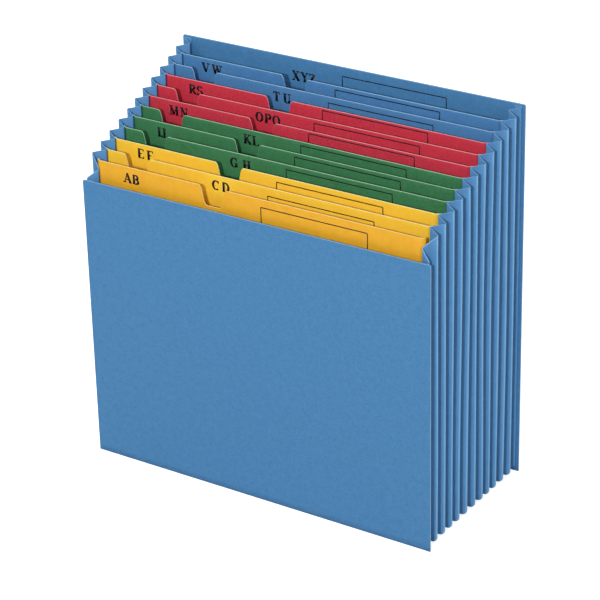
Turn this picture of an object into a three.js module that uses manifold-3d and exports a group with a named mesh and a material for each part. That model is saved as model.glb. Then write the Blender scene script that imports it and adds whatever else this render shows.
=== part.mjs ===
// An open-topped expanding desk file for letter paper, in millimetres, +Z up.
// X runs along the covers and +Y points from the front cover to the back one.
// The origin is at the middle of the box round the file, on the surface it stands on.
// Two covers of pressboard hold one strip of gusset paper, pleated and bent round the
// left side, the foot and the right side. Each inward fold of the strip but the last
// carries a card divider, glued by margins that are folded back along the pleat.
import * as THREE from "three";
import { mergeVertices } from "three/addons/utils/BufferGeometryUtils.js";
import Module from "manifold-3d";

const wasm = await Module();
wasm.setup();

// Covers
const coverWidth = 305;
const coverBoard = 1.2;
const coverCornerRadius = 1.6;
const frontHeight = 235;
const backHeight = 308;

// Pleated gusset. The rim is its upper edge, the ridges are its outward folds.
const pleatCount = 12;
const pleatPitch = 11.4;
const pleatDepth = 11;
const gussetPaper = 0.5;
const glueFlap = 8.5;
const firstRidgeHeight = 253;
const pleatFoldRadius = 0.6;
const ridgeCornerRadius = 5;
const foldCornerRadius = 1.5;
const flapInset = 1.3;
const rimInset = 1.5;

// Dividers
const dividerCard = 0.6;
const cardBendRadius = 0.8;
const dividerRise = 0.4;
const marginLength = 4.5;
const cornerRelief = 4;
const glueLine = 0.3;

// Finger notches, which show the index letters of the sheet behind
const notchTopHalf = 13;
const notchFootHalf = 5.5;
const notchDepth = 15.5;
const notchEase = 4.5;
const sideNotchX = -113;
const middleNotchX = -36.5;

const foldSteps = 3;
const arcSteps = 6;
const curveSteps = 10;

// The index letters of each divider in their order, with the colour of its card. The last
// letters of the index stand on the back cover.
const dividers = [
  { letters: "a_to_b", card: "yellow" },
  { letters: "c_to_d", card: "yellow" },
  { letters: "e_to_f", card: "yellow" },
  { letters: "g_to_h", card: "green" },
  { letters: "i_to_j", card: "green" },
  { letters: "k_to_l", card: "green" },
  { letters: "m_to_n", card: "red" },
  { letters: "o_to_q", card: "red" },
  { letters: "r_to_s", card: "red" },
  { letters: "t_to_u", card: "blue" },
  { letters: "v_to_w", card: "blue" },
];

// Colours of the papers
const finish = {
  cover: new THREE.MeshStandardMaterial({ color: 0x4a82b8, roughness: 0.75, metalness: 0 }),
  gusset: new THREE.MeshStandardMaterial({ color: 0x4a80b6, roughness: 0.8, metalness: 0 }),
  yellow: new THREE.MeshStandardMaterial({ color: 0xf2bb30, roughness: 0.7, metalness: 0 }),
  green: new THREE.MeshStandardMaterial({ color: 0x33734a, roughness: 0.7, metalness: 0 }),
  red: new THREE.MeshStandardMaterial({ color: 0xc72a42, roughness: 0.7, metalness: 0 }),
  blue: new THREE.MeshStandardMaterial({ color: 0x4477ad, roughness: 0.7, metalness: 0 }),
};

// Worked-out sizes
const halfWidth = coverWidth / 2;
const pleatAngle = Math.atan2(pleatPitch / 2, pleatDepth);

// Y of fold number k, counted from the front cover. Whole numbers are ridges, halves are
// the inward folds between them.
const foldY = (k) => (k - pleatCount / 2) * pleatPitch;

// The tops of the dividers lie on one straight slope that ends at the back cover.
function slopeHeight(y) {
  return THREE.MathUtils.mapLinear(y, foldY(1), foldY(pleatCount), firstRidgeHeight, backHeight - rimInset);
}

// The rim is cut along the same slope, with a steeper cut from the first ridge down to the
// front cover.
function rimHeight(y) {
  const lowEnd = frontHeight - rimInset;
  const steepCut = THREE.MathUtils.mapLinear(y, foldY(0), foldY(1), lowEnd, firstRidgeHeight);
  return Math.min(steepCut, slopeHeight(y));
}

// A bent line whose inner corners become arcs that touch both of their straights.
function roundedLine(corners, radius) {
  const line = [corners[0]];
  corners.slice(1, -1).forEach((corner, i) => {
    const back = corners[i].clone().sub(corner).normalize();
    const ahead = corners[i + 2].clone().sub(corner).normalize();
    const halfAngle = Math.acos(back.dot(ahead)) / 2;
    const bisector = back.clone().add(ahead).normalize();
    const centre = corner.clone().addScaledVector(bisector, radius / Math.sin(halfAngle));
    const start = corner.clone().addScaledVector(back, radius / Math.tan(halfAngle)).sub(centre);
    const turn = (Math.PI - 2 * halfAngle) * Math.sign(ahead.cross(back));
    for (let step = 0; step <= foldSteps; step += 1) {
      const spoke = start.clone().rotateAround(new THREE.Vector2(), (turn * step) / foldSteps);
      line.push(spoke.add(centre));
    }
  });
  line.push(corners[corners.length - 1]);
  return line;
}

// A closed outline of a sheet of even thickness that follows a bent line.
function sheetOutline(line, thickness) {
  const headings = line.slice(1).map((point, i) => point.clone().sub(line[i]).normalize());
  const normals = headings.map((heading) => new THREE.Vector2(-heading.y, heading.x));
  const edge = (offset) =>
    line.map((point, i) => {
      const arriving = normals[Math.max(i - 1, 0)];
      const leaving = normals[Math.min(i, normals.length - 1)];
      const mitre = arriving.clone().add(leaving).normalize();
      return point.clone().addScaledVector(mitre, offset / mitre.dot(arriving));
    });
  return [...edge(thickness / 2), ...edge(-thickness / 2).reverse()];
}

// manifold-3d solids to and from three.js geometries
function toSolid(geometry) {
  const bare = geometry.index ? geometry.toNonIndexed() : geometry.clone();
  bare.deleteAttribute("normal");
  bare.deleteAttribute("uv");
  const merged = mergeVertices(bare, 1e-4);
  return new wasm.Manifold(
    new wasm.Mesh({
      numProp: 3,
      vertProperties: merged.attributes.position.array,
      triVerts: new Uint32Array(merged.index.array),
    }),
  );
}

function toGeometry(solid) {
  const mesh = solid.getMesh();
  const geometry = new THREE.BufferGeometry();
  geometry.setAttribute("position", new THREE.BufferAttribute(new Float32Array(mesh.vertProperties), 3));
  geometry.setIndex(new THREE.BufferAttribute(new Uint32Array(mesh.triVerts), 1));
  return geometry.toNonIndexed();
}

function namedMesh(name, geometry, material) {
  geometry.computeVertexNormals();
  const mesh = new THREE.Mesh(geometry, material);
  mesh.name = name;
  return mesh;
}

// Covers

function coverGeometry(height, nearY) {
  const r = coverCornerRadius;
  const shape = new THREE.Shape();
  shape.moveTo(-halfWidth, 0);
  shape.lineTo(halfWidth, 0);
  shape.lineTo(halfWidth, height - r);
  shape.absarc(halfWidth - r, height - r, r, 0, Math.PI / 2, false);
  shape.lineTo(-halfWidth + r, height);
  shape.absarc(-halfWidth + r, height - r, r, Math.PI / 2, Math.PI, false);
  const geometry = new THREE.ExtrudeGeometry(shape, {
    depth: coverBoard,
    bevelEnabled: false,
    curveSegments: arcSteps,
  });
  geometry.rotateX(Math.PI / 2);
  geometry.translate(0, nearY + coverBoard, 0);
  return geometry;
}

// Gusset

// The strip's zigzag seen from above. Its x is minus the depth below the ridges, its y is
// depth through the file. It starts and ends in the flaps that are glued to the covers.
function pleatLine() {
  const ridge = gussetPaper / 2 / Math.sin(pleatAngle);
  const frontFlapY = foldY(0) + glueLine + gussetPaper / 2;
  const backFlapY = foldY(pleatCount) - glueLine - gussetPaper / 2;
  const line = [new THREE.Vector2(-glueFlap, frontFlapY), new THREE.Vector2(-flapInset, frontFlapY)];
  for (let k = 0.5; k < pleatCount; k += 1) {
    line.push(new THREE.Vector2(-pleatDepth, foldY(k)));
    if (k + 1 < pleatCount) line.push(new THREE.Vector2(-ridge, foldY(k + 0.5)));
  }
  line.push(new THREE.Vector2(-flapInset, backFlapY), new THREE.Vector2(-glueFlap, backFlapY));
  return line;
}

// Where a point of the zigzag runs: down the left side, round the corner, along the foot,
// round the other corner and up the right side. Ridges turn on a wide arc, folds on a tight one.
function stripPath({ x, y }) {
  const inset = -x;
  const r = THREE.MathUtils.mapLinear(inset, 0, pleatDepth, ridgeCornerRadius, foldCornerRadius);
  const half = halfWidth - inset;
  const rim = rimHeight(y);
  const bend = Array.from({ length: arcSteps + 1 }, (_, i) => (Math.PI / 2) * (i / arcSteps));
  const corner = (side, angle) =>
    new THREE.Vector3(side * (half - r + r * Math.cos(angle)), y, inset + r - r * Math.sin(angle));
  return [
    new THREE.Vector3(-half, y, rim),
    ...bend.map((angle) => corner(-1, angle)),
    ...bend.reverse().map((angle) => corner(1, angle)),
    new THREE.Vector3(half, y, rim),
  ];
}

function gussetGeometry() {
  const outline = sheetOutline(roundedLine(pleatLine(), pleatFoldRadius), gussetPaper);
  const runs = outline.map(stripPath);
  const stations = runs[0].length;
  const count = outline.length;
  const corners = [];
  const face = (a, b, c) => corners.push(...[a, b, c].flatMap((point) => point.toArray()));
  for (let i = 0; i < count; i += 1) {
    const next = runs[(i + 1) % count];
    for (let j = 0; j < stations - 1; j += 1) {
      face(runs[i][j], runs[i][j + 1], next[j + 1]);
      face(runs[i][j], next[j + 1], next[j]);
    }
  }
  for (const [a, b, c] of THREE.ShapeUtils.triangulateShape(outline, [])) {
    face(runs[a][0], runs[c][0], runs[b][0]);
    face(runs[a][stations - 1], runs[b][stations - 1], runs[c][stations - 1]);
  }
  const geometry = new THREE.BufferGeometry();
  geometry.setAttribute("position", new THREE.Float32BufferAttribute(corners, 3));
  return geometry;
}

// Dividers

// A divider bends where its margin meets the pleat behind the fold, one glue line clear of it.
const sheetOffset = gussetPaper / 2 + glueLine + dividerCard / 2;
const bendInset = pleatDepth + sheetOffset / Math.sin(pleatAngle);
const marginOut = marginLength * Math.cos(pleatAngle);
const marginBack = marginLength * Math.sin(pleatAngle);

function extruded(points, length) {
  const shape = new THREE.Shape(points);
  return new THREE.ExtrudeGeometry(shape, { depth: length, bevelEnabled: false });
}

// The face with its two side margins, drawn from above and raised.
function faceAndSides(y, top) {
  const bendX = halfWidth - bendInset;
  const line = [
    new THREE.Vector2(-bendX - marginOut, y + marginBack),
    new THREE.Vector2(-bendX, y),
    new THREE.Vector2(bendX, y),
    new THREE.Vector2(bendX + marginOut, y + marginBack),
  ];
  const foot = bendInset + cornerRelief;
  const geometry = extruded(sheetOutline(roundedLine(line, cardBendRadius), dividerCard), top - foot);
  geometry.translate(0, 0, foot);
  return geometry;
}

// The foot of the face with its margin, drawn from the side and run along the file.
function footMargin(y) {
  const line = [
    new THREE.Vector2(y + marginBack, bendInset - marginOut),
    new THREE.Vector2(y, bendInset),
    new THREE.Vector2(y, bendInset + cornerRelief + dividerCard),
  ];
  const run = 2 * (halfWidth - bendInset - cornerRelief);
  const geometry = extruded(sheetOutline(roundedLine(line, cardBendRadius), dividerCard), run);
  // The side view's axes are depth and height, so its x becomes Y and its y becomes Z.
  geometry.applyMatrix4(new THREE.Matrix4().makeBasis(
    new THREE.Vector3(0, 1, 0),
    new THREE.Vector3(0, 0, 1),
    new THREE.Vector3(1, 0, 0),
  ));
  geometry.translate(-run / 2, 0, 0);
  return geometry;
}

// The notch: a dip between two easy S-curves.
function notchGeometry(centreX, y, top) {
  const above = top + notchEase;
  const floor = top - notchDepth;
  const topHandle = notchTopHalf - notchEase;
  const footHandle = notchFootHalf + notchEase;
  const shape = new THREE.Shape();
  shape.moveTo(-notchTopHalf, above);
  shape.lineTo(-notchTopHalf, top);
  shape.bezierCurveTo(-topHandle, top, -footHandle, floor, -notchFootHalf, floor);
  shape.lineTo(notchFootHalf, floor);
  shape.bezierCurveTo(footHandle, floor, topHandle, top, notchTopHalf, top);
  shape.lineTo(notchTopHalf, above);
  const through = 4 * dividerCard;
  const geometry = new THREE.ExtrudeGeometry(shape, {
    depth: through,
    bevelEnabled: false,
    curveSegments: curveSteps,
  });
  geometry.rotateX(Math.PI / 2);
  geometry.translate(centreX, y + through / 2, 0);
  return geometry;
}

function dividerGeometry(index) {
  const y = foldY(index + 0.5);
  const top = slopeHeight(y) + dividerRise;
  const notchX = index % 2 === 0 ? middleNotchX : sideNotchX;
  const sheet = toSolid(faceAndSides(y, top)).add(toSolid(footMargin(y)));
  return toGeometry(sheet.subtract(toSolid(notchGeometry(notchX, y, top))));
}

const file = new THREE.Group();
file.add(namedMesh("front_cover", coverGeometry(frontHeight, foldY(0) - coverBoard), finish.cover));
file.add(namedMesh("back_cover", coverGeometry(backHeight, foldY(pleatCount)), finish.cover));
file.add(namedMesh("gusset", gussetGeometry(), finish.gusset));
dividers.forEach(({ letters, card }, index) => {
  file.add(namedMesh(`divider_${letters}`, dividerGeometry(index), finish[card]));
});

export default file;
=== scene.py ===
# %% [markdown]
# # An expanding desk file
#
# The real thing is an open-topped accordion file for letter paper. Two covers of stiff
# pressboard hold one strip of blue gusset paper, pleated like the bellows of an old camera.
# Eleven thin cards stand on the inward folds and are stepped, so that every tab shows.
# This lesson builds each sheet as paper really is: a surface that is bent along lines, with
# a thickness, and pale where a knife has cut it, which also serves as a painted highlight on
# the edge. Lengths are in millimetres until a mesh is made, because that is how such a file
# would be drawn.

import bpy
import numpy as np
from mathutils import Matrix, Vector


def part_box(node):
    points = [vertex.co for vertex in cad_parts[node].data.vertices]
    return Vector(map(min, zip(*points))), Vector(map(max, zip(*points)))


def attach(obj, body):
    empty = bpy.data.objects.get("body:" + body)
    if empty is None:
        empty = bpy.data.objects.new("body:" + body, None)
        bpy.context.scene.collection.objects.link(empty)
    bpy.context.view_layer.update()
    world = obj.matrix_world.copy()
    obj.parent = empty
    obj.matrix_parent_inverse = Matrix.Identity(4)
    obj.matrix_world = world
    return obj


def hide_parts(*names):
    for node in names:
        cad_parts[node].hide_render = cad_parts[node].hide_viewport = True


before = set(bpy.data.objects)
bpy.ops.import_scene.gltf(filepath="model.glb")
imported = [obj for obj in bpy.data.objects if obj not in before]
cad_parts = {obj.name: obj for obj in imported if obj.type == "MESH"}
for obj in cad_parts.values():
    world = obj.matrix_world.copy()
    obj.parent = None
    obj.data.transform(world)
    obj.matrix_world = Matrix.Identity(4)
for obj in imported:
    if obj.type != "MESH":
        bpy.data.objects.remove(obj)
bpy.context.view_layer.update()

# %% [markdown]
# ## The sizes of the file
#
# The covers' sizes are read from the frame. The rest is what a maker would write on the
# order: how many pleats, how far apart, how deep, and how thick each paper is. Folds are
# numbered from the front cover. Whole numbers are the outward ridges, halves are the inward
# folds on which the cards stand.

# %% Sizes in millimetres
front_low, front_high = (1000 * np.array(corner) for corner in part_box("front_cover"))
back_low, back_high = (1000 * np.array(corner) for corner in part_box("back_cover"))
HALF_WIDTH = front_high[0]
FRONT_HEIGHT = front_high[2]
BACK_HEIGHT = back_high[2]
BOARD = front_high[1] - front_low[1]  # thickness of a cover
COVER_CORNER = 1.6  # radius of a cover's upper corners

PLEATS = 12
PITCH = (back_low[1] - front_high[1]) / PLEATS
DEPTH = 11.0  # from a ridge to the fold beside it
PLEAT_ANGLE = np.arctan2(PITCH / 2, DEPTH)
PAPER = 0.5
FLAP = 8.5  # how far in from the ridges the gusset's flap on each cover ends
FLAP_INSET = 0.6  # and how far in it begins
RIDGE_CORNER = 5.0  # arc of the ridges at the lower corners
FOLD_CORNER = 1.5  # arc of the folds there
RIM_INSET = 1.5  # how far the rim ends below the top of a cover
FIRST_RIDGE = 253.0  # height of the rim at the first ridge

CARD = 0.6
GLUE = 0.3
MARGIN = 4.5  # width of a card's glued margins
RELIEF = 4.0  # the lower corners of a card are cut off by this much
CARD_RISE = 0.4  # how far a card stands above the slope of the rim
print(f"{PLEATS} pleats of {PITCH:.1f} mm, {np.degrees(PLEAT_ANGLE):.0f} degrees to the side")


# %% Where the folds are and how high things reach
def fold_y(k):
    """Depth through the file of fold number k: k pitches from the front, counted from the
    middle."""
    return (k - PLEATS / 2) * PITCH


def slope_height(y):
    """Height of the one long slope on which the tops of the cards lie: a straight line from
    the first ridge to just below the top of the back cover."""
    share = (y - fold_y(1)) / (fold_y(PLEATS) - fold_y(1))
    return FIRST_RIDGE + (BACK_HEIGHT - RIM_INSET - FIRST_RIDGE) * share


def rim_height(y):
    """Height of the gusset's upper rim: the same slope, but cut steeply down from the first
    ridge to the front cover, so the lower of two lines."""
    low = FRONT_HEIGHT - RIM_INSET
    steep = low + (FIRST_RIDGE - low) * (y - fold_y(0)) / PITCH
    return np.minimum(steep, slope_height(y))


print(f"covers {FRONT_HEIGHT:.0f} and {BACK_HEIGHT:.0f} mm high, rim from "
      f"{rim_height(fold_y(0)):.0f} to {rim_height(fold_y(PLEATS)):.0f} mm")

# %% [markdown]
# ## From arrays to meshes
#
# Every piece here is a sheet: two skins, a front and a back, that lie a paper's thickness
# apart. Each skin is a grid of points worked out with numpy. Closing the gap between the
# skins round their border gives a solid sheet, and the faces of that border are marked,
# because the cut edge of a coloured card is paler than its faces; that pale colour also serves
# as a painted highlight on the edge. A solidify modifier could give the thickness too, but it
# would not let the bends keep their true radius.

# %% Closing two skins into a sheet
def grid_of(x, y, z):
    """Three arrays stretched to one common shape and joined to a grid of points."""
    return np.stack(np.broadcast_arrays(x, y, z), axis=-1)


def sheet_of(front, back):
    """Points, quads and cut marks of a closed sheet. front and back are grids of points
    (rows, columns, 3). The border quads join row ends and column ends of the two skins. A
    sum of a . (b x c) over the faces is six times the volume, and where it is below zero
    the faces point inwards and are turned round."""
    rows, columns, _ = front.shape
    shift = rows * columns
    near = np.arange(shift).reshape(rows, columns)

    def skin(grid):
        corners = (grid[:-1, :-1], grid[:-1, 1:], grid[1:, 1:], grid[1:, :-1])
        return np.stack([corner.ravel() for corner in corners], axis=1)

    ring = np.concatenate([near[0, :-1], near[:-1, -1], near[-1, :0:-1], near[:0:-1, 0]])
    following = np.roll(ring, -1)
    border = np.stack([following, ring, ring + shift, following + shift], axis=1)
    quads = np.concatenate([skin(near), skin(near + shift)[:, ::-1], border])
    cut = np.concatenate([np.zeros(len(quads) - len(border)), np.ones(len(border))])
    points = np.concatenate([front.reshape(-1, 3), back.reshape(-1, 3)])
    a, b, c, d = (points[quads[:, i]] for i in range(4))
    volume = np.einsum("ij,ij->", a, np.cross(b, c)) + np.einsum("ij,ij->", a, np.cross(c, d))
    return points, quads if volume > 0 else quads[:, ::-1], cut


# %% Making one object from sheets
def piece(name, sheets, material, node=None, painted_light_and_wear_values=None):
    """One object from a list of sheets, in metres, with its cut marks on the faces and, if
    given, a value of rubbing, painted shade and painted highlight on each point. It rides on the
    body and stands for its CAD node."""
    starts = np.cumsum([0] + [len(points) for points, _, _ in sheets[:-1]])
    points = np.concatenate([points for points, _, _ in sheets]) / 1000
    quads = np.concatenate([quads + start for (_, quads, _), start in zip(sheets, starts)])
    cut = np.concatenate([marks for _, _, marks in sheets])
    painted_light_and_wear = np.zeros(len(points)) if painted_light_and_wear_values is None else painted_light_and_wear_values
    mesh = bpy.data.meshes.new(name)
    mesh.from_pydata(points.tolist(), [], quads.tolist())
    mesh.polygons.foreach_set("use_smooth", cut == 0)
    for title, domain, values in (("cut", "FACE", cut), ("painted_light_and_wear", "POINT", painted_light_and_wear)):
        mark = mesh.attributes.new(title, "FLOAT", domain)
        mark.data.foreach_set("value", values.astype(np.float32))
    mesh.materials.append(material)
    mesh.update()
    item = bpy.data.objects.new(name, mesh)
    bpy.context.scene.collection.objects.link(item)
    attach(item, "root")
    if node:
        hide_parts(node)
    print(f"{name}: {len(points)} points, {len(quads)} quads")


# %% Bending a line
def rounded(corners, radius, steps):
    """A bent line with every inner corner rounded. Each corner becomes an arc that touches
    both of its straights; the arc's points turn evenly from one straight to the other."""
    middle = corners[1:-1]
    toward = corners[:-2] - middle
    away = corners[2:] - middle
    toward /= np.linalg.norm(toward, axis=1, keepdims=True)
    away /= np.linalg.norm(away, axis=1, keepdims=True)
    half = np.arccos(np.clip((toward * away).sum(axis=1), -1, 1)) / 2
    bisector = toward + away
    bisector /= np.linalg.norm(bisector, axis=1, keepdims=True)
    centre = middle + bisector * (radius / np.sin(half))[:, None]
    start = middle + toward * (radius / np.tan(half))[:, None] - centre
    end = middle + away * (radius / np.tan(half))[:, None] - centre
    turn = (np.pi - 2 * half)[:, None, None]
    t = np.linspace(0, 1, steps)[None, :, None]
    arc = np.sin((1 - t) * turn) * start[:, None] + np.sin(t * turn) * end[:, None]
    bent = centre[:, None] + arc / np.sin(turn)
    return np.concatenate([corners[:1], bent.reshape(-1, 2), corners[-1:]])


def divided(line, spacing):
    """The same line with extra points at every whole spacing along it."""
    along = np.concatenate([[0], np.cumsum(np.linalg.norm(np.diff(line, axis=0), axis=1))])
    stops = np.unique(np.concatenate([along, np.arange(0, along[-1], spacing)]).round(4))
    return np.stack([np.interp(stops, along, line[:, i]) for i in range(2)], axis=1)


def normals_of(line):
    """Unit normals of a line in its plane: each tangent is turned a quarter to the left."""
    tangent = np.gradient(line, axis=0)
    tangent /= np.linalg.norm(tangent, axis=1, keepdims=True)
    return np.stack([-tangent[:, 1], tangent[:, 0]], axis=1)


# %% [markdown]
# ## Papers and inks
#
# Cover stock, gusset paper and index card are all dyed paper. What gives them away is a
# fine fleck of fibres, a soft cloudiness from the pulp, a dull sheen, worn ridges where the
# dye has rubbed, and a pale core that shows wherever the sheet was cut. Painted highlights go
# along the worn ridges, the hems and the pale cut edges, and painted shade goes into the folds.
# One recipe serves them all, with colours given as the hex values a printer would use. The
# first yellow card looks a little more golden than the two behind it, though all three are the
# same card, so it has its own darker copy of the yellow as painted shade.

# %% Helpers for materials
def linear(code):
    """A hex colour as linear RGBA, by the sRGB curve."""
    srgb = np.array([int(code[i : i + 2], 16) for i in (1, 3, 5)]) / 255
    rgb = np.where(srgb <= 0.04045, srgb / 12.92, ((srgb + 0.055) / 1.055) ** 2.4)
    return (*rgb.tolist(), 1.0)


def add(tree, kind, values=None, links=None, **settings):
    """Adds a node with its settings, its socket values and the sockets that feed it."""
    node = tree.nodes.new(kind)
    for key, value in settings.items():
        setattr(node, key, value)
    for socket, value in (values or {}).items():
        node.inputs[socket].default_value = value
    for socket, source in (links or {}).items():
        tree.links.new(source, node.inputs[socket])
    return node


def per_metre(size_mm):
    """The scale of a noise whose features are about size_mm across."""
    return 1000 / size_mm


# %% A recipe for dyed paper
CLOUD_RANGE = {"From Min": 0.35, "From Max": 0.65}
FLECK_RANGE = {"From Min": 0.42, "From Max": 0.62}
FLECK_SHARE = 0.13


def paper(name, colours, cloud_mm, fleck_mm, roughness, tooth_mm):
    """Dyed paper. colours holds five hex codes: dye, light, dark, deep and core. light is the
    fibre colour and also a painted highlight, deep is painted shade, and core is the pale core
    of the sheet and also a painted edge highlight. Two noises mix dark and light into the dye:
    a cloud from the pulp and a fleck from the fibres. The point value leans to light where it
    is above 0, on a rubbed ridge or hem with a painted highlight, and to deep where it is below
    0, as painted shade in a fold. Cut edges show the core. tooth_mm is the height of the fibres."""
    # deep is painted shade; light is the fibre colour and also a painted highlight; core is the
    # pale core and also a painted edge highlight.
    dye, light, dark, deep, core_and_edge_highlight = map(linear, colours.split())
    material = bpy.data.materials.new(name)
    material.use_nodes = True
    tree = material.node_tree
    tree.nodes.clear()
    place = add(tree, "ShaderNodeTexCoord").outputs["Object"]
    cloud = add(
        tree, "ShaderNodeTexNoise",
        {"Scale": per_metre(cloud_mm), "Detail": 3.0, "Roughness": 0.6}, {"Vector": place},
    ).outputs["Fac"]
    fleck = add(
        tree, "ShaderNodeTexNoise",
        {"Scale": per_metre(fleck_mm), "Detail": 4.0, "Roughness": 0.7}, {"Vector": place},
    ).outputs["Fac"]
    cloudy = add(tree, "ShaderNodeMapRange", CLOUD_RANGE, {"Value": cloud}).outputs["Result"]
    flecked = add(tree, "ShaderNodeMapRange", FLECK_RANGE, {"Value": fleck}).outputs["Result"]
    fibres = add(
        tree, "ShaderNodeMath", {1: FLECK_SHARE}, {0: flecked}, operation="MULTIPLY",
    ).outputs["Value"]
    # The point value read here is wear with a painted highlight where it is above 0, and painted
    # shade where it is below 0.
    painted_light_and_wear = add(tree, "ShaderNodeAttribute", attribute_name="painted_light_and_wear").outputs["Fac"]
    painted_fold_shade, worn_and_highlit = (
        add(
            tree, "ShaderNodeMath", {1: sign}, {0: painted_light_and_wear}, operation="MULTIPLY", use_clamp=True,
        ).outputs["Value"]
        for sign in (-1.0, 1.0)
    )
    cut = add(tree, "ShaderNodeAttribute", attribute_name="cut").outputs["Fac"]
    colour = add(
        tree, "ShaderNodeMix", {"A": dye, "B": dark}, {"Factor": cloudy}, data_type="RGBA",
    ).outputs["Result"]
    # Fibres, then painted shade in the folds, then wear with its painted highlight, then the pale
    # core on cut faces, which also serves as a painted edge highlight.
    for shade, amount in ((light, fibres), (deep, painted_fold_shade), (light, worn_and_highlit), (core_and_edge_highlight, cut)):
        colour = add(
            tree, "ShaderNodeMix", {"B": shade}, {"A": colour, "Factor": amount},
            data_type="RGBA",
        ).outputs["Result"]
    tooth = add(
        tree, "ShaderNodeBump", {"Strength": 0.6, "Distance": tooth_mm / 1000}, {"Height": fleck},
    ).outputs["Normal"]
    shader = add(
        tree, "ShaderNodeBsdfPrincipled",
        {"Roughness": roughness, "IOR": 1.5, "Specular IOR Level": 0.35},
        {"Base Color": colour, "Normal": tooth},
    ).outputs["BSDF"]
    add(tree, "ShaderNodeOutputMaterial", {}, {"Surface": shader})
    return material


# %% The papers of this file
# Pressboard is pulp pressed hard between rollers: a dull sheen, a coarse fleck and the
# highest tooth. A fleck on real paper is finer than half a millimetre. It is drawn about a
# millimetre wide in all of them, because a pixel of the picture covers 0.8 mm.
# Its light colour is also the painted highlight on the worn hem, and its pale core also a painted
# highlight on the cut edges.
cover_stock = paper(
    "blue_pressboard", "#437FB0 #7DB2DE #3F79AA #3C74A6 #86B6DE", 5, 1.0, 0.7, 0.03
)

# Gusset paper is tough kraft, dyed through: even and matt, lighter on its worn ridges, where a
# highlight is painted too, and with painted shade in its folds.
gusset_paper = paper(
    "blue_gusset_paper", "#528DC1 #8ABEE6 #4E88BC #336292 #74A9D6", 8, 0.9, 0.72, 0.02
)

# Index card is rolled smooth, so it is the shiniest of the papers and has a pale cut edge, which,
# like its lighter hem, also serves as a painted highlight.
CARD_FINISH = (8, 0.9, 0.62, 0.015)
CARD_COLOURS = {
    "yellow": "#FBCE34 #FFE98A #F9C82F #DFA01F #FFF2B4",
    "green": "#347A4C #8CC096 #2F7347 #245A38 #B4DCB8",
    "red": "#CB2940 #F08A92 #C4253C #9E1C32 #F6A8AC",
    "blue": "#467FB6 #8CC0EA #427AB0 #2F6296 #A4CEEE",
    # The first card's darker, more golden copy of the yellow is painted shade.
    "shaded_yellow": "#ECAE26 #FFD058 #E8A520 #DFA01F #FFF2B4",
}
cards = {
    colour: paper(f"{colour}_index_card", codes, *CARD_FINISH)
    for colour, codes in CARD_COLOURS.items()
}

# Offset ink soaks into the card: nearly black, a little glossier, and hardly any relief.
ink = paper("black_offset_ink", "#0E0C14 #18161E #0C0B12 #0E0C14 #0E0C14", 6, 0.8, 0.5, 0.005)
print("papers:", [material.name for material in bpy.data.materials])

# %% [markdown]
# ## Unevenness
#
# A row of pleats never stands quite evenly, because each fold springs by its own amount.
# One smooth field moves every point a little along the file. Everything between the covers
# goes through the same field, so a card stays glued to its fold, and nothing moves at the
# covers themselves.

# %% A field that lets the pleats settle
SETTLE = 0.7
# A wave is its size, the mm of depth, of height and of width that turn it by one radian,
# and its phase.
WAVES = ((1.0, 9.0, 70.0, 260.0, 0.0), (0.7, 15.0, -46.0, -190.0, 1.9))


def settled(points):
    """Moves points along Y by a sum of two slow waves over depth, height and width, which
    fade to nothing at the covers."""
    x, y, z = points[..., 0], points[..., 1], points[..., 2]
    wave = sum(
        size * np.sin(y / deep + z / high + x / wide + phase)
        for size, deep, high, wide, phase in WAVES
    )
    fade = np.clip(1 - (y / fold_y(PLEATS)) ** 2, 0, 1)
    moved = points.copy()
    moved[..., 1] = y + SETTLE * wave * fade
    return moved


print(f"a fold moves by at most {SETTLE * sum(wave[0] for wave in WAVES):.1f} mm")

# %% [markdown]
# ## Standing sheets
#
# A cover or a card is a bent line drawn from above and raised. The height of its foot and of
# its top may change along the line, which is all that a rounded corner or a finger notch
# needs. The grid has one column for each point of the line, and its rows are spread evenly
# from foot to top, with two more in the last 0.6 mm, where fingers wear the edge and a
# highlight is painted along it.

# %% Raising a line into a sheet
HEM = 0.6


def standing(line, foot, top, thickness, rows):
    """The two skins of a sheet over a line (n, 2) seen from above. foot and top are heights
    along the line. The skins lie half a thickness to either side of it."""
    share = np.linspace(0, 1, rows)[:, None]
    z = np.concatenate([foot + (top - HEM - foot) * share, [top - HEM / 2, top]])
    shift = normals_of(line) * thickness / 2
    return [grid_of(*(line + sign * shift).T, z) for sign in (-1, 1)]


def worn_and_highlit_hem(rows, columns, wear_and_painted_light):
    """Values of rubbing and painted highlight for both skins of a standing sheet: nothing, then
    rising at the hem.
    """
    values = np.zeros((rows + 2, columns))
    values[-2:] = [[0.5 * wear_and_painted_light], [wear_and_painted_light]]
    return np.tile(values.ravel(), 2)


# %% [markdown]
# ## The covers
#
# The front cover is lower than the rest, so that the first card can be read. Both covers
# are flat boards with square feet and slightly rounded upper corners, and their edges are
# bare board, whose pale colour also serves as a painted highlight. A cube with bevelled corners
# would do as well, but raising a straight line gives the rounded corners and the worn top
# edge, with its painted highlight, in one step, as it does for the cards.

# %% Front and back cover
COVER_ROWS, COVER_COLUMNS, CORNER_STEPS = 40, 60, 9
COVER_HEM_WEAR_AND_HIGHLIGHT = 0.45


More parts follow.
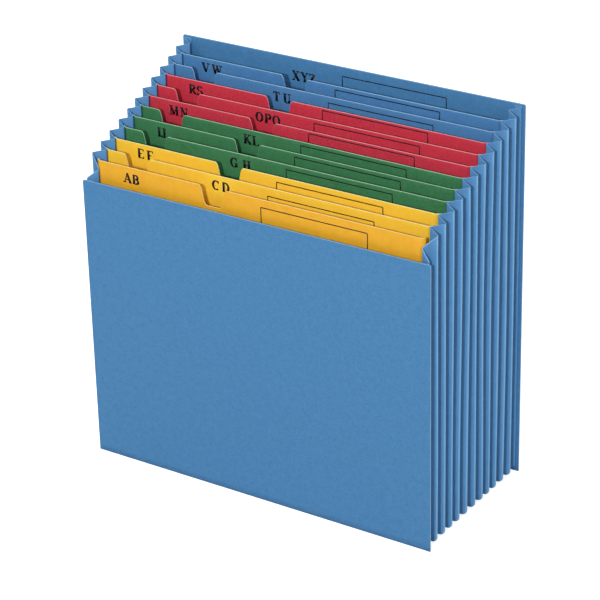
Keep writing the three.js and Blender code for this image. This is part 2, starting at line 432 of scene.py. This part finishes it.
def cover(part, height, y):
    """A straight line at depth y, raised to a height that drops by a quarter circle at both
    ends. The points of a corner are evenly spread over the circle's angle."""
    straight = HALF_WIDTH - COVER_CORNER
    ease = np.linspace(0, 1, CORNER_STEPS)
    corner = straight + COVER_CORNER * np.sin(ease * np.pi / 2)
    middle = np.linspace(-straight, straight, COVER_COLUMNS)
    x = np.concatenate([-corner[:0:-1], middle, corner[1:]])
    over = np.clip(np.abs(x) - straight, 0, COVER_CORNER)
    top = height - COVER_CORNER + np.sqrt(np.maximum(COVER_CORNER**2 - over**2, 0))
    line = np.stack([x, np.full_like(x, y)], axis=1)
    sheet = sheet_of(*standing(line, np.zeros_like(x), top, BOARD, COVER_ROWS))
    # The worn hem is also lightened as a painted highlight.
    wear_and_painted_light = worn_and_highlit_hem(COVER_ROWS, len(x), COVER_HEM_WEAR_AND_HIGHLIGHT)
    piece(part + "_board", [sheet], cover_stock, part + "_cover", wear_and_painted_light)


cover("front", FRONT_HEIGHT, (front_low[1] + front_high[1]) / 2)
cover("back", BACK_HEIGHT, (back_low[1] + back_high[1]) / 2)

# %% [markdown]
# ## The gusset
#
# One strip of paper does the work of the bellows. Seen from above it is a zigzag that starts
# and ends in flaps glued to the covers. That zigzag is carried down one side of the file,
# round the corner, along the foot and up the other side. The ridges take the corner on a
# wide arc and the folds on a tight one, which gives the scalloped lobes at the foot of a
# real file. A curve with a bevel profile would take all of them round one centre, so the
# strip is worked out point by point.

# %% The zigzag
FOLD_ROUND, FOLD_STEPS, PROFILE_SPACING = 0.6, 6, 0.9


def zigzag():
    """Corners of the strip as (inset, y). Inset is the depth below the ridges. The strip's
    middle starts far enough in for its outer skin to touch the width of the covers."""
    crest = PAPER / 2 / np.sin(PLEAT_ANGLE)
    k = np.arange(1, 2 * PLEATS) / 2
    inset = np.where(k % 1 == 0, crest, DEPTH)
    first = fold_y(0) + GLUE + PAPER / 2
    last = fold_y(PLEATS) - GLUE - PAPER / 2
    pleats = np.stack([inset, fold_y(k)], axis=1)
    return np.concatenate([
        [[FLAP, first], [FLAP_INSET, first]], pleats, [[FLAP_INSET, last], [FLAP, last]],
    ])


corners = zigzag()
profile = divided(rounded(corners, FOLD_ROUND, FOLD_STEPS), PROFILE_SPACING)
print(f"zigzag of {len(corners)} corners, {len(profile)} points once rounded and divided")

# %% Carrying the zigzag round the file
SIDE_ROWS, CORNER_ROWS, FOOT_ROWS = 22, 9, 12


def carried(outline):
    """The U-shaped run of every point (inset, y) of the zigzag: down a straight side, round
    a quarter arc whose radius shrinks from ridge to fold, and half way along the foot. The
    other half is its mirror image."""
    inset, y = outline[:, 0], outline[:, 1]
    r = RIDGE_CORNER + (FOLD_CORNER - RIDGE_CORNER) * inset / DEPTH
    half = HALF_WIDTH - inset
    t = np.linspace(0, 1, SIDE_ROWS)[:-1, None]
    side_z = rim_height(y) + (inset + r - rim_height(y)) * t
    side_x = np.broadcast_to(-half, side_z.shape)
    angle = np.linspace(0, np.pi / 2, CORNER_ROWS)[:, None]
    bend_x = -(half - r + r * np.cos(angle))
    bend_z = inset + r - r * np.sin(angle)
    u = np.linspace(0, 1, FOOT_ROWS)[1:, None]
    foot_x = -(half - r) * (1 - u)
    foot_z = np.broadcast_to(inset, foot_x.shape)
    x = np.concatenate([side_x, bend_x, foot_x])
    z = np.concatenate([side_z, bend_z, foot_z])
    return settled(grid_of(
        np.concatenate([x, -x[-2::-1]]), y, np.concatenate([z, z[-2::-1]]),
    ))


# %% The strip, its wear and its painted light and shade
RIDGE_BAND, FOLD_BAND, BAND_EDGE = 1.3, 1.0, 0.3
SHADE_START, SHADE_RUN = 1.0, 4.5
# How dark the painted shade is: on the outer skin toward the folds, as the painted shadow line
# along the inner folds, over the whole inner skin, and added behind the ridges.
OUTER_PAINTED_SHADE, FOLD_PAINTED_SHADOW, INNER_PAINTED_SHADE, BEHIND_RIDGE_PAINTED_SHADE = 0.4, 0.9, 0.25, 0.3


def near(targets, width):
    """How close each point of the profile is to one of the targets: 1 at it, 0 far away,
    as a bell curve of the distance."""
    gap = np.linalg.norm(profile[:, None] - targets[None], axis=2).min(axis=1)
    return np.exp(-((gap / width) ** 2))


offset = normals_of(profile) * PAPER / 2
outer, inner = carried(profile + offset), carried(profile - offset)

# The outer skin is rubbed along the ridges, which also get a painted highlight there, and has
# painted shade that deepens down to the folds. The inner skin has a painted shadow line along
# the folds and painted shade everywhere else, most behind the ridges.
# ridge is the band of wear with a painted highlight, fold the band of the painted shadow line,
# and depth how far the painted shade has deepened.
ridge = near(corners[3:-2:2], RIDGE_BAND)
fold = near(corners[2:-2:2], FOLD_BAND)
depth = np.clip((profile[:, 0] - SHADE_START) / SHADE_RUN, 0, 1)
outer_wear_and_painted_light = np.where(ridge > BAND_EDGE, ridge, -OUTER_PAINTED_SHADE * depth)
painted_shade_behind_ridges = -INNER_PAINTED_SHADE - BEHIND_RIDGE_PAINTED_SHADE * (1 - depth)
inner_painted_shade = np.where(fold > BAND_EDGE, -FOLD_PAINTED_SHADOW * fold, painted_shade_behind_ridges)
wear_and_painted_light = np.concatenate([np.tile(outer_wear_and_painted_light, len(outer)), np.tile(inner_painted_shade, len(inner))])
piece("pleated_gusset", [sheet_of(outer, inner)], gusset_paper, "gusset", wear_and_painted_light)

# %% [markdown]
# ## The cards
#
# Each divider is a card whose side and foot margins are bent back and glued behind the fold
# that carries it. Its top is level with the rim at that fold. A finger notch, cut with two
# easy S-curves, lets the letters of the card behind show through. The notches alternate
# between two places, and so do the letters. A boolean could cut the notch, but a top line
# that dips gives clean faces and keeps the worn hem, with its painted highlight, along the cut.

# %% Where a card bends
STAND_OFF = PAPER / 2 + GLUE + CARD / 2
BEND = DEPTH + STAND_OFF / np.sin(PLEAT_ANGLE)
MARGIN_OUT = MARGIN * np.cos(PLEAT_ANGLE)
MARGIN_BACK = MARGIN * np.sin(PLEAT_ANGLE)
BEND_ROUND, BEND_STEPS = 0.8, 7
print(f"a card bends {BEND:.1f} mm inside the covers' edges, so it is "
      f"{2 * (HALF_WIDTH - BEND):.0f} mm wide between its margins")

# %% The finger notch
NOTCH_TOP = 13.0  # half of its width at the card's edge
NOTCH_FOOT = 5.5  # half of its width at its floor
NOTCH_DEPTH = 15.5
NOTCH_EASE = 4.5  # length of the handles, which round the curve's ends
NOTCH_STEPS = 25
SIDE_NOTCH_X = -113.0
MIDDLE_NOTCH_X = -36.5


def notch_side():
    """Half of a finger notch as (x, drop): a Bezier S-curve from the top edge to the floor."""
    t = np.linspace(0, 1, NOTCH_STEPS)[:, None]
    handles = np.array([
        [NOTCH_TOP, 0], [NOTCH_TOP - NOTCH_EASE, 0],
        [NOTCH_FOOT + NOTCH_EASE, NOTCH_DEPTH], [NOTCH_FOOT, NOTCH_DEPTH],
    ])
    weights = [(1 - t) ** 3, 3 * t * (1 - t) ** 2, 3 * t**2 * (1 - t), t**3]
    return np.concatenate(weights, axis=1) @ handles


side = notch_side()
NOTCH = np.concatenate([side * [-1, 1], side[::-1]])
print(f"notch of {len(NOTCH)} points, {2 * NOTCH_TOP:.0f} by {NOTCH_DEPTH} mm")

# %% A card seen from above
CARD_COLUMNS, NOTCH_CLEAR, LEVEL = 100, 0.3, 1e-6


def card_line(y, face, notch):
    """A straight line at depth y whose ends are bent back to the margins. Its points are
    those of the two bends and of the notch, and between these evenly spread ones."""
    bends = np.array([
        [-face - MARGIN_OUT, y + MARGIN_BACK], [-face, y],
        [face, y], [face + MARGIN_OUT, y + MARGIN_BACK],
    ])
    line = rounded(bends, BEND_ROUND, BEND_STEPS)
    flat = line[np.abs(line[:, 1] - y) < LEVEL, 0]
    plain = np.linspace(flat[0], flat[-1], CARD_COLUMNS)[1:-1]
    plain = plain[(plain < notch[0, 0] - NOTCH_CLEAR) | (plain > notch[-1, 0] + NOTCH_CLEAR)]
    x = np.unique(np.concatenate([line[:, 0], plain, notch[:, 0]]).round(5))
    return np.stack([x, np.interp(x, line[:, 0], line[:, 1])], axis=1)


# %% One divider
CARD_ROWS, CARD_HEM_WEAR_AND_HIGHLIGHT = 16, 0.9
FOOT_COLUMNS, FOOT_SPACING = 60, 1.5


def divider(letters, number, colour):
    """A card on inward fold number - 1/2: an upright sheet with bent ends and a notch in its
    top line, and a second sheet, its foot margin, that starts where the first one ends."""
    y = fold_y(number - 0.5)
    height = slope_height(y) + CARD_RISE
    face = HALF_WIDTH - BEND
    notch = NOTCH + [MIDDLE_NOTCH_X if number % 2 else SIDE_NOTCH_X, 0]
    line = card_line(y, face, notch)
    x = line[:, 0]
    top = height - np.interp(x, notch[:, 0], notch[:, 1], left=0, right=0)
    run = face - RELIEF
    foot = BEND + np.clip(np.abs(x) - run, 0, RELIEF)
    upright = sheet_of(*map(settled, standing(line, foot, top, CARD, CARD_ROWS)))

    fall = np.array([[y, BEND], [y + MARGIN_BACK, BEND - MARGIN_OUT]])
    fall = divided(fall, FOOT_SPACING)
    shift = normals_of(fall) * CARD / 2
    across = np.linspace(-run, run, FOOT_COLUMNS)[:, None]
    skins = [grid_of(across, *(fall + sign * shift).T) for sign in (-1, 1)]
    margin = sheet_of(*map(settled, skins))

    # The worn hem is also lightened as a painted highlight.
    wear_and_painted_light = np.concatenate([worn_and_highlit_hem(CARD_ROWS, len(x), CARD_HEM_WEAR_AND_HIGHLIGHT), np.zeros(len(margin[0]))])
    # The first card takes the darker, more golden copy of the yellow: painted shade.
    stock = cards["shaded_yellow" if number == 1 else colour]
    slot, node = "card_" + colour, "divider_" + letters
    piece("card_" + letters, [upright, margin], stock, node, wear_and_painted_light)


# %% Eleven cards
CARDS = [
    ("a_to_b", "yellow"), ("c_to_d", "yellow"), ("e_to_f", "yellow"),
    ("g_to_h", "green"), ("i_to_j", "green"), ("k_to_l", "green"),
    ("m_to_n", "red"), ("o_to_q", "red"), ("r_to_s", "red"),
    ("t_to_u", "blue"), ("v_to_w", "blue"),
]
for number, (letters, colour) in enumerate(CARDS, start=1):
    divider(letters, number, colour)

# %% [markdown]
# ## The print
#
# The index letters are bold Roman capitals. Each one is drawn here with a broad pen: straight
# strokes, thick or thin, and arcs whose width swells at the sides. The strokes are written in
# a short code, in units of the letters' height. l is a line: two points, and b or n for broad
# or narrow. a is an arc: a centre, two radii and two angles. s is a serif: the end of a stem.
# A font would be quicker, but a script that stands alone can't count on one being there. A
# plain ruled box beside the letters is for the owner's own title.

# %% A broad-pen alphabet
BOLD, THIN = 0.27, 0.11
STROKES = {
    "A": "l .05 0 .36 1 n, l .33 1 .66 0 b, l .17 .33 .5 .33 n, s .05 0, s .66 0",
    "B": "l .16 0 .16 1 b, l .02 .96 .32 .96 n, l .02 .04 .32 .04 n, "
         "a .3 .74 .25 .22 90 -90, a .3 .28 .3 .24 90 -90",
    "C": "a .38 .5 .3 .46 50 310, l .62 .68 .62 .98 n",
    "D": "l .16 0 .16 1 b, l .02 .96 .32 .96 n, l .02 .04 .32 .04 n, a .28 .5 .36 .46 90 -90",
    "E": "l .16 0 .16 1 b, l .02 .96 .6 .96 n, l .02 .04 .62 .04 n, l .16 .5 .44 .5 n, "
         "l .6 .78 .6 .98 n, l .62 .02 .62 .24 n",
    "F": "l .16 0 .16 1 b, l .02 .96 .6 .96 n, l .02 .04 .34 .04 n, l .16 .5 .44 .5 n, "
         "l .6 .78 .6 .98 n",
    "G": "a .38 .5 .3 .46 50 310, l .6 .68 .6 .98 n, l .6 .06 .6 .42 b, l .42 .42 .74 .42 n",
    "H": "l .16 0 .16 1 b, l .6 0 .6 1 b, l .16 .5 .6 .5 n, s .16 0, s .6 0, s .16 1, s .6 1",
    "I": "l .2 0 .2 1 b, s .2 0, s .2 1",
    "J": "l .34 .2 .34 1 b, a .22 .2 .14 .18 0 -180, s .34 1",
    "K": "l .16 0 .16 1 b, l .2 .42 .6 .98 n, l .3 .56 .66 .02 b, s .16 0, s .66 0, "
         "s .16 1, s .6 1",
    "L": "l .16 0 .16 1 b, s .16 1, l .02 .04 .6 .04 n, l .6 .02 .6 .26 n",
    "M": "l .1 0 .1 1 n, l .12 .98 .42 .06 b, l .42 .06 .7 .98 n, l .74 0 .74 1 b, s .1 0, "
         "s .74 0, s .1 1, s .74 1",
    "N": "l .12 0 .12 1 n, l .12 .98 .62 .04 b, l .62 0 .62 1 n, s .12 0, s .12 1, s .62 1",
    "O": "a .38 .5 .3 .46 0 360",
    "P": "l .16 0 .16 1 b, l .02 .96 .32 .96 n, s .16 0, a .3 .72 .28 .24 90 -90",
    "Q": "a .38 .5 .3 .46 0 360, l .36 .1 .64 -.18 b",
    "R": "l .16 0 .16 1 b, l .02 .96 .32 .96 n, s .16 0, a .3 .74 .26 .22 90 -90, "
         "l .34 .5 .66 .02 b, s .68 0",
    "S": "a .32 .73 .21 .22 40 260, a .32 .27 .24 .23 80 -140, l .54 .74 .54 .98 n, "
         "l .08 .02 .08 .26 n",
    "T": "l .34 0 .34 1 b, l .04 .96 .64 .96 n, l .04 .74 .04 .98 n, l .64 .74 .64 .98 n, "
         "s .34 0",
    "U": "l .16 .3 .16 1 b, l .6 .3 .6 1 n, a .38 .3 .22 .26 180 360, s .16 1, s .6 1",
    "V": "l .06 1 .36 .02 b, l .36 .02 .64 1 n, s .08 1, s .64 1",
    "W": "l .04 1 .26 .02 b, l .26 .02 .46 .9 n, l .44 1 .66 .02 b, l .66 .02 .86 1 n, "
         "s .06 1, s .86 1",
    "X": "l .08 1 .6 0 b, l .08 0 .58 1 n, s .1 1, s .58 1, s .08 0, s .6 0",
    "Y": "l .06 1 .34 .48 b, l .34 .48 .6 1 n, l .34 0 .34 .5 b, s .08 1, s .6 1, s .34 0",
    "Z": "l .08 .96 .56 .96 n, l .56 .96 .1 .04 b, l .1 .04 .6 .04 n, l .08 .74 .08 .98 n, "
         "l .6 .02 .6 .26 n",
}
print(f"alphabet of {len(STROKES)} letters")


# %% One stroke of the pen
SERIF, SERIF_INSET, ARC_POINTS = 0.17, 0.04, 21


def stroke(code):
    """Centre line and width of one stroke. A serif is a short thin line across a stem's end.
    An arc is an ellipse's (cos, sin), and its width swells with the size of the cosine."""
    kind, *values = code.split()
    numbers = [float(value) for value in values if value not in "bn"]
    if kind == "s":
        x, y = numbers
        level = y * (1 - 2 * SERIF_INSET) + SERIF_INSET
        return np.array([[x - SERIF, level], [x + SERIF, level]]), np.array([THIN, THIN])
    if kind == "l":
        width = BOLD if values[-1] == "b" else THIN
        return np.array(numbers).reshape(2, 2), np.array([width, width])
    cx, cy, rx, ry, start, end = numbers
    angle = np.radians(np.linspace(start, end, ARC_POINTS))
    line = np.stack([cx + rx * np.cos(angle), cy + ry * np.sin(angle)], axis=1)
    return line, THIN + (BOLD - THIN) * np.abs(np.cos(angle))


# %% Ink and letters
INK = 0.02
CAP_HEIGHT, LETTER_STRETCH = 7.7, 1.15


def inked(line, width, y):
    """A stroke of ink on a wall whose face is at y: a ribbon of the given width along line
    (x, z), as a sheet that starts just off the card and is as thick as ink is drawn."""
    side = normals_of(line) * width[:, None] / 2
    flat = np.stack([line - side, line + side])
    skins = [grid_of(flat[..., 0], y - gap, flat[..., 1]) for gap in (2 * INK, INK)]
    return sheet_of(*map(settled, skins))


def glyph(letter):
    """The strokes of a letter in mm, moved so that its ink starts at x = 0, and its width.
    A third of a stroke's width is taken as what stands out to its side."""
    strokes = [stroke(code) for code in STROKES[letter].split(",")]
    left = min((line[:, 0] - width / 3).min() for line, width in strokes)
    right = max((line[:, 0] + width / 3).max() for line, width in strokes)
    size = np.array([LETTER_STRETCH, 1]) * CAP_HEIGHT
    moved = [((line - [left, 0]) * size, width * CAP_HEIGHT) for line, width in strokes]
    return moved, (right - left) * size[0]


# %% Printing on a wall
BOX_LENGTH, BOX_HEIGHT = 91.0, 14.0
RULE, RULE_SPACING = 0.8, 5.0


def printing(text, face_y, start, length, letters_top, box_left, box_top):
    """The letters, spread evenly from start over length, and the ruled box of one wall."""
    glyphs = [glyph(letter) for letter in text.split()]
    gap = (length - sum(width for _, width in glyphs)) / (len(glyphs) - 1)
    base = letters_top - CAP_HEIGHT
    sheets = []
    for strokes, glyph_width in glyphs:
        sheets += [inked(line + [start, base], width, face_y) for line, width in strokes]
        start += glyph_width + gap
    right, low = box_left + BOX_LENGTH, box_top - BOX_HEIGHT
    box = [[box_left, low], [box_left, box_top], [right, box_top], [right, low], [box_left, low]]
    for corner, following in zip(box, box[1:]):
        rule = divided(np.array([corner, following]), RULE_SPACING)
        sheets.append(inked(rule, np.full(len(rule), RULE), face_y))
    piece("print_" + text.replace(" ", "_").lower(), sheets, ink)


# %% The index
# A row is the letters, where they start, how long they run and how far below the top edge
# they begin, then the left end of the box and how far below the top edge it begins.
INDEX = [
    ("A B", -119.2, 15.3, 5.1, 6.0, 6.4), ("C D", -44.5, 15.4, 4.2, 4.9, 6.8),
    ("E F", -121.0, 14.6, 3.8, 5.4, 4.7), ("G H", -43.8, 18.6, 4.2, 6.0, 3.9),
    ("I J", -119.2, 8.4, 4.4, 5.8, 3.2), ("K L", -47.0, 14.0, 3.9, 4.4, 3.1),
    ("M N", -122.7, 18.3, 4.0, 4.8, 2.1), ("O P Q", -50.0, 22.2, 3.8, 2.3, 3.3),
    ("R S", -119.9, 13.3, 3.8, 2.4, 2.0), ("T U", -49.0, 16.3, 4.9, 0.6, 5.0),
    ("V W", -123.4, 20.3, 3.8, -0.2, 3.2), ("X Y Z", -50.9, 21.7, 11.0, -4.6, 7.5),
]
for number, (text, start, length, letters_down, box_left, box_down) in enumerate(INDEX, start=1):
    if number < PLEATS:
        y = fold_y(number - 0.5)
        face_y, top = y - CARD / 2, slope_height(y) + CARD_RISE
    else:
        face_y, top = back_low[1], BACK_HEIGHT
    printing(text, face_y, start, length, top - letters_down, box_left, top - box_down)

# %% [markdown]
# ## Floor, light and camera
#
# The photograph was taken against white. Its narrow dark shadows beside the finger notches and
# above the cards tell that the main light was small, to the left of the camera and a little
# lower. Weaker lamps light the near corner, the tops, the pleated side and the back.
# A pale floor keeps the shadow under the file. Its own light is only for the camera and for
# reflections, so it makes the background white without lighting the paper.

# %% The floor
FLOOR_HALF, FLOOR_DROP = 4.0, 0.0004
FLOOR_LIFT = 0.8


def floor_material():
    """White paper: a plain diffuse surface, plus a light of its own that counts only for
    rays from the camera, from reflections and through glass."""
    material = bpy.data.materials.new("white_paper_sweep")
    material.use_nodes = True
    tree = material.node_tree
    tree.nodes.clear()
    rays = add(tree, "ShaderNodeLightPath").outputs
    seen = rays["Is Camera Ray"]
    for kind in ("Is Glossy Ray", "Is Transmission Ray"):
        seen = add(
            tree, "ShaderNodeMath", {}, {0: seen, 1: rays[kind]}, operation="MAXIMUM",
        ).outputs["Value"]
    lift = add(
        tree, "ShaderNodeMath", {1: FLOOR_LIFT}, {0: seen}, operation="MULTIPLY",
    ).outputs["Value"]
    diffuse = add(tree, "ShaderNodeBsdfDiffuse", {"Color": linear("#E6E6E6")})
    glow = add(tree, "ShaderNodeEmission", {"Color": linear("#FFFFFF")}, {"Strength": lift})
    both = add(
        tree, "ShaderNodeAddShader", {},
        {0: diffuse.outputs["BSDF"], 1: glow.outputs["Emission"]},
    )
    add(tree, "ShaderNodeOutputMaterial", {}, {"Surface": both.outputs["Shader"]})
    return material


sweep = bpy.data.meshes.new("floor")
ends = [(-1, -1), (1, -1), (1, 1), (-1, 1)]
spots = [(x * FLOOR_HALF, y * FLOOR_HALF, -FLOOR_DROP) for x, y in ends]
sweep.from_pydata(spots, [], [(0, 1, 2, 3)])
sweep.materials.append(floor_material())
floor = bpy.data.objects.new("floor", sweep)
bpy.context.scene.collection.objects.link(floor)
print(f"floor {2 * FLOOR_HALF:.0f} m wide")

# %% The world
FILL, BACKGROUND = 0.24, 1.0
scene = bpy.context.scene
world = bpy.data.worlds.new("studio")
scene.world = world
world.use_nodes = True
tree = world.node_tree
tree.nodes.clear()
rays = add(tree, "ShaderNodeLightPath").outputs
fill, white = (
    add(
        tree, "ShaderNodeBackground", {"Color": linear("#FFFFFF"), "Strength": strength},
    ).outputs["Background"]
    for strength in (FILL, BACKGROUND)
)
pick = add(tree, "ShaderNodeMixShader", {}, {0: rays["Is Camera Ray"], 1: fill, 2: white})
add(tree, "ShaderNodeOutputWorld", {}, {"Surface": pick.outputs["Shader"]})
print(f"world gives the paper {FILL} of white and the camera plain white")


# %% The lamps
def turned(item, right, up, back, place):
    """Puts a lamp or a camera at place, with its own X, Y and Z along right, up and back.
    It looks against back. The four vectors are the columns of its matrix."""
    matrix = np.eye(4)
    matrix[:3] = np.stack([right, up, back, place], axis=1)
    item.matrix_world = Matrix(matrix.tolist())


def lamp(name, place, aim, size, power):
    """A square soft lamp at place that faces aim, in metres and watts."""
    data = bpy.data.lights.new(name, "AREA")
    data.size = size
    data.energy = power
    item = bpy.data.objects.new(name, data)
    back = np.array(place) - np.array(aim)
    back /= np.linalg.norm(back)
    right = np.cross([0, 0, 1], back)
    right /= np.linalg.norm(right)
    turned(item, right, np.cross(back, right), back, place)
    scene.collection.objects.link(item)
    print(f"{name} lamp: {size} m wide, {power} W")


lamp("key", (0.76, -2.25, 1.24), (0, 0, 0.2), 0.14, 33)
lamp("corner", (-0.55, -0.5, 0.85), (-0.1, -0.07, 0.2), 0.3, 1.6)
lamp("top", (-0.2, -0.5, 1.4), (0, 0, 0.3), 0.5, 2.0)
lamp("side", (1.8, -0.4, 0.7), (0, 0, 0.15), 0.7, 6)
lamp("back", (-0.8, 1.8, 1.1), (0, 0, 0.15), 0.8, 20)

# %% [markdown]
# The camera's place was worked out from the corners of the covers and ridges in the
# photograph, for a plain lens without shift. It stands to the right of the file, well above
# it, and is rolled by about one degree.

# %% The camera
AZIMUTH, ELEVATION, ROLL = 33.31, 26.2, -1.39
DISTANCE_MM, FOCAL_PX, IMAGE_PX, SENSOR_MM = 1903.3, 2475.7, 600, 36.0
AIM_MM = np.array([-3.14, 0.0, 140.2])
FAR_M = 50

a, e, r = np.radians([AZIMUTH, ELEVATION, ROLL])
back = np.array([np.sin(a) * np.cos(e), -np.cos(a) * np.cos(e), np.sin(e)])
level = np.array([np.cos(a), np.sin(a), 0])
upright = np.cross(back, level)
right = np.cos(r) * level + np.sin(r) * upright
up = np.cos(r) * upright - np.sin(r) * level
lens = bpy.data.cameras.new("camera")
lens.sensor_width = SENSOR_MM
lens.lens = FOCAL_PX / IMAGE_PX * SENSOR_MM
lens.clip_end = FAR_M
camera = bpy.data.objects.new("camera", lens)
turned(camera, right, up, back, (AIM_MM + back * DISTANCE_MM) / 1000)
scene.collection.objects.link(camera)
scene.camera = camera
scene.view_settings.view_transform = "Standard"
print(f"camera with a {lens.lens:.0f} mm lens, {DISTANCE_MM / 1000:.1f} m from the file")
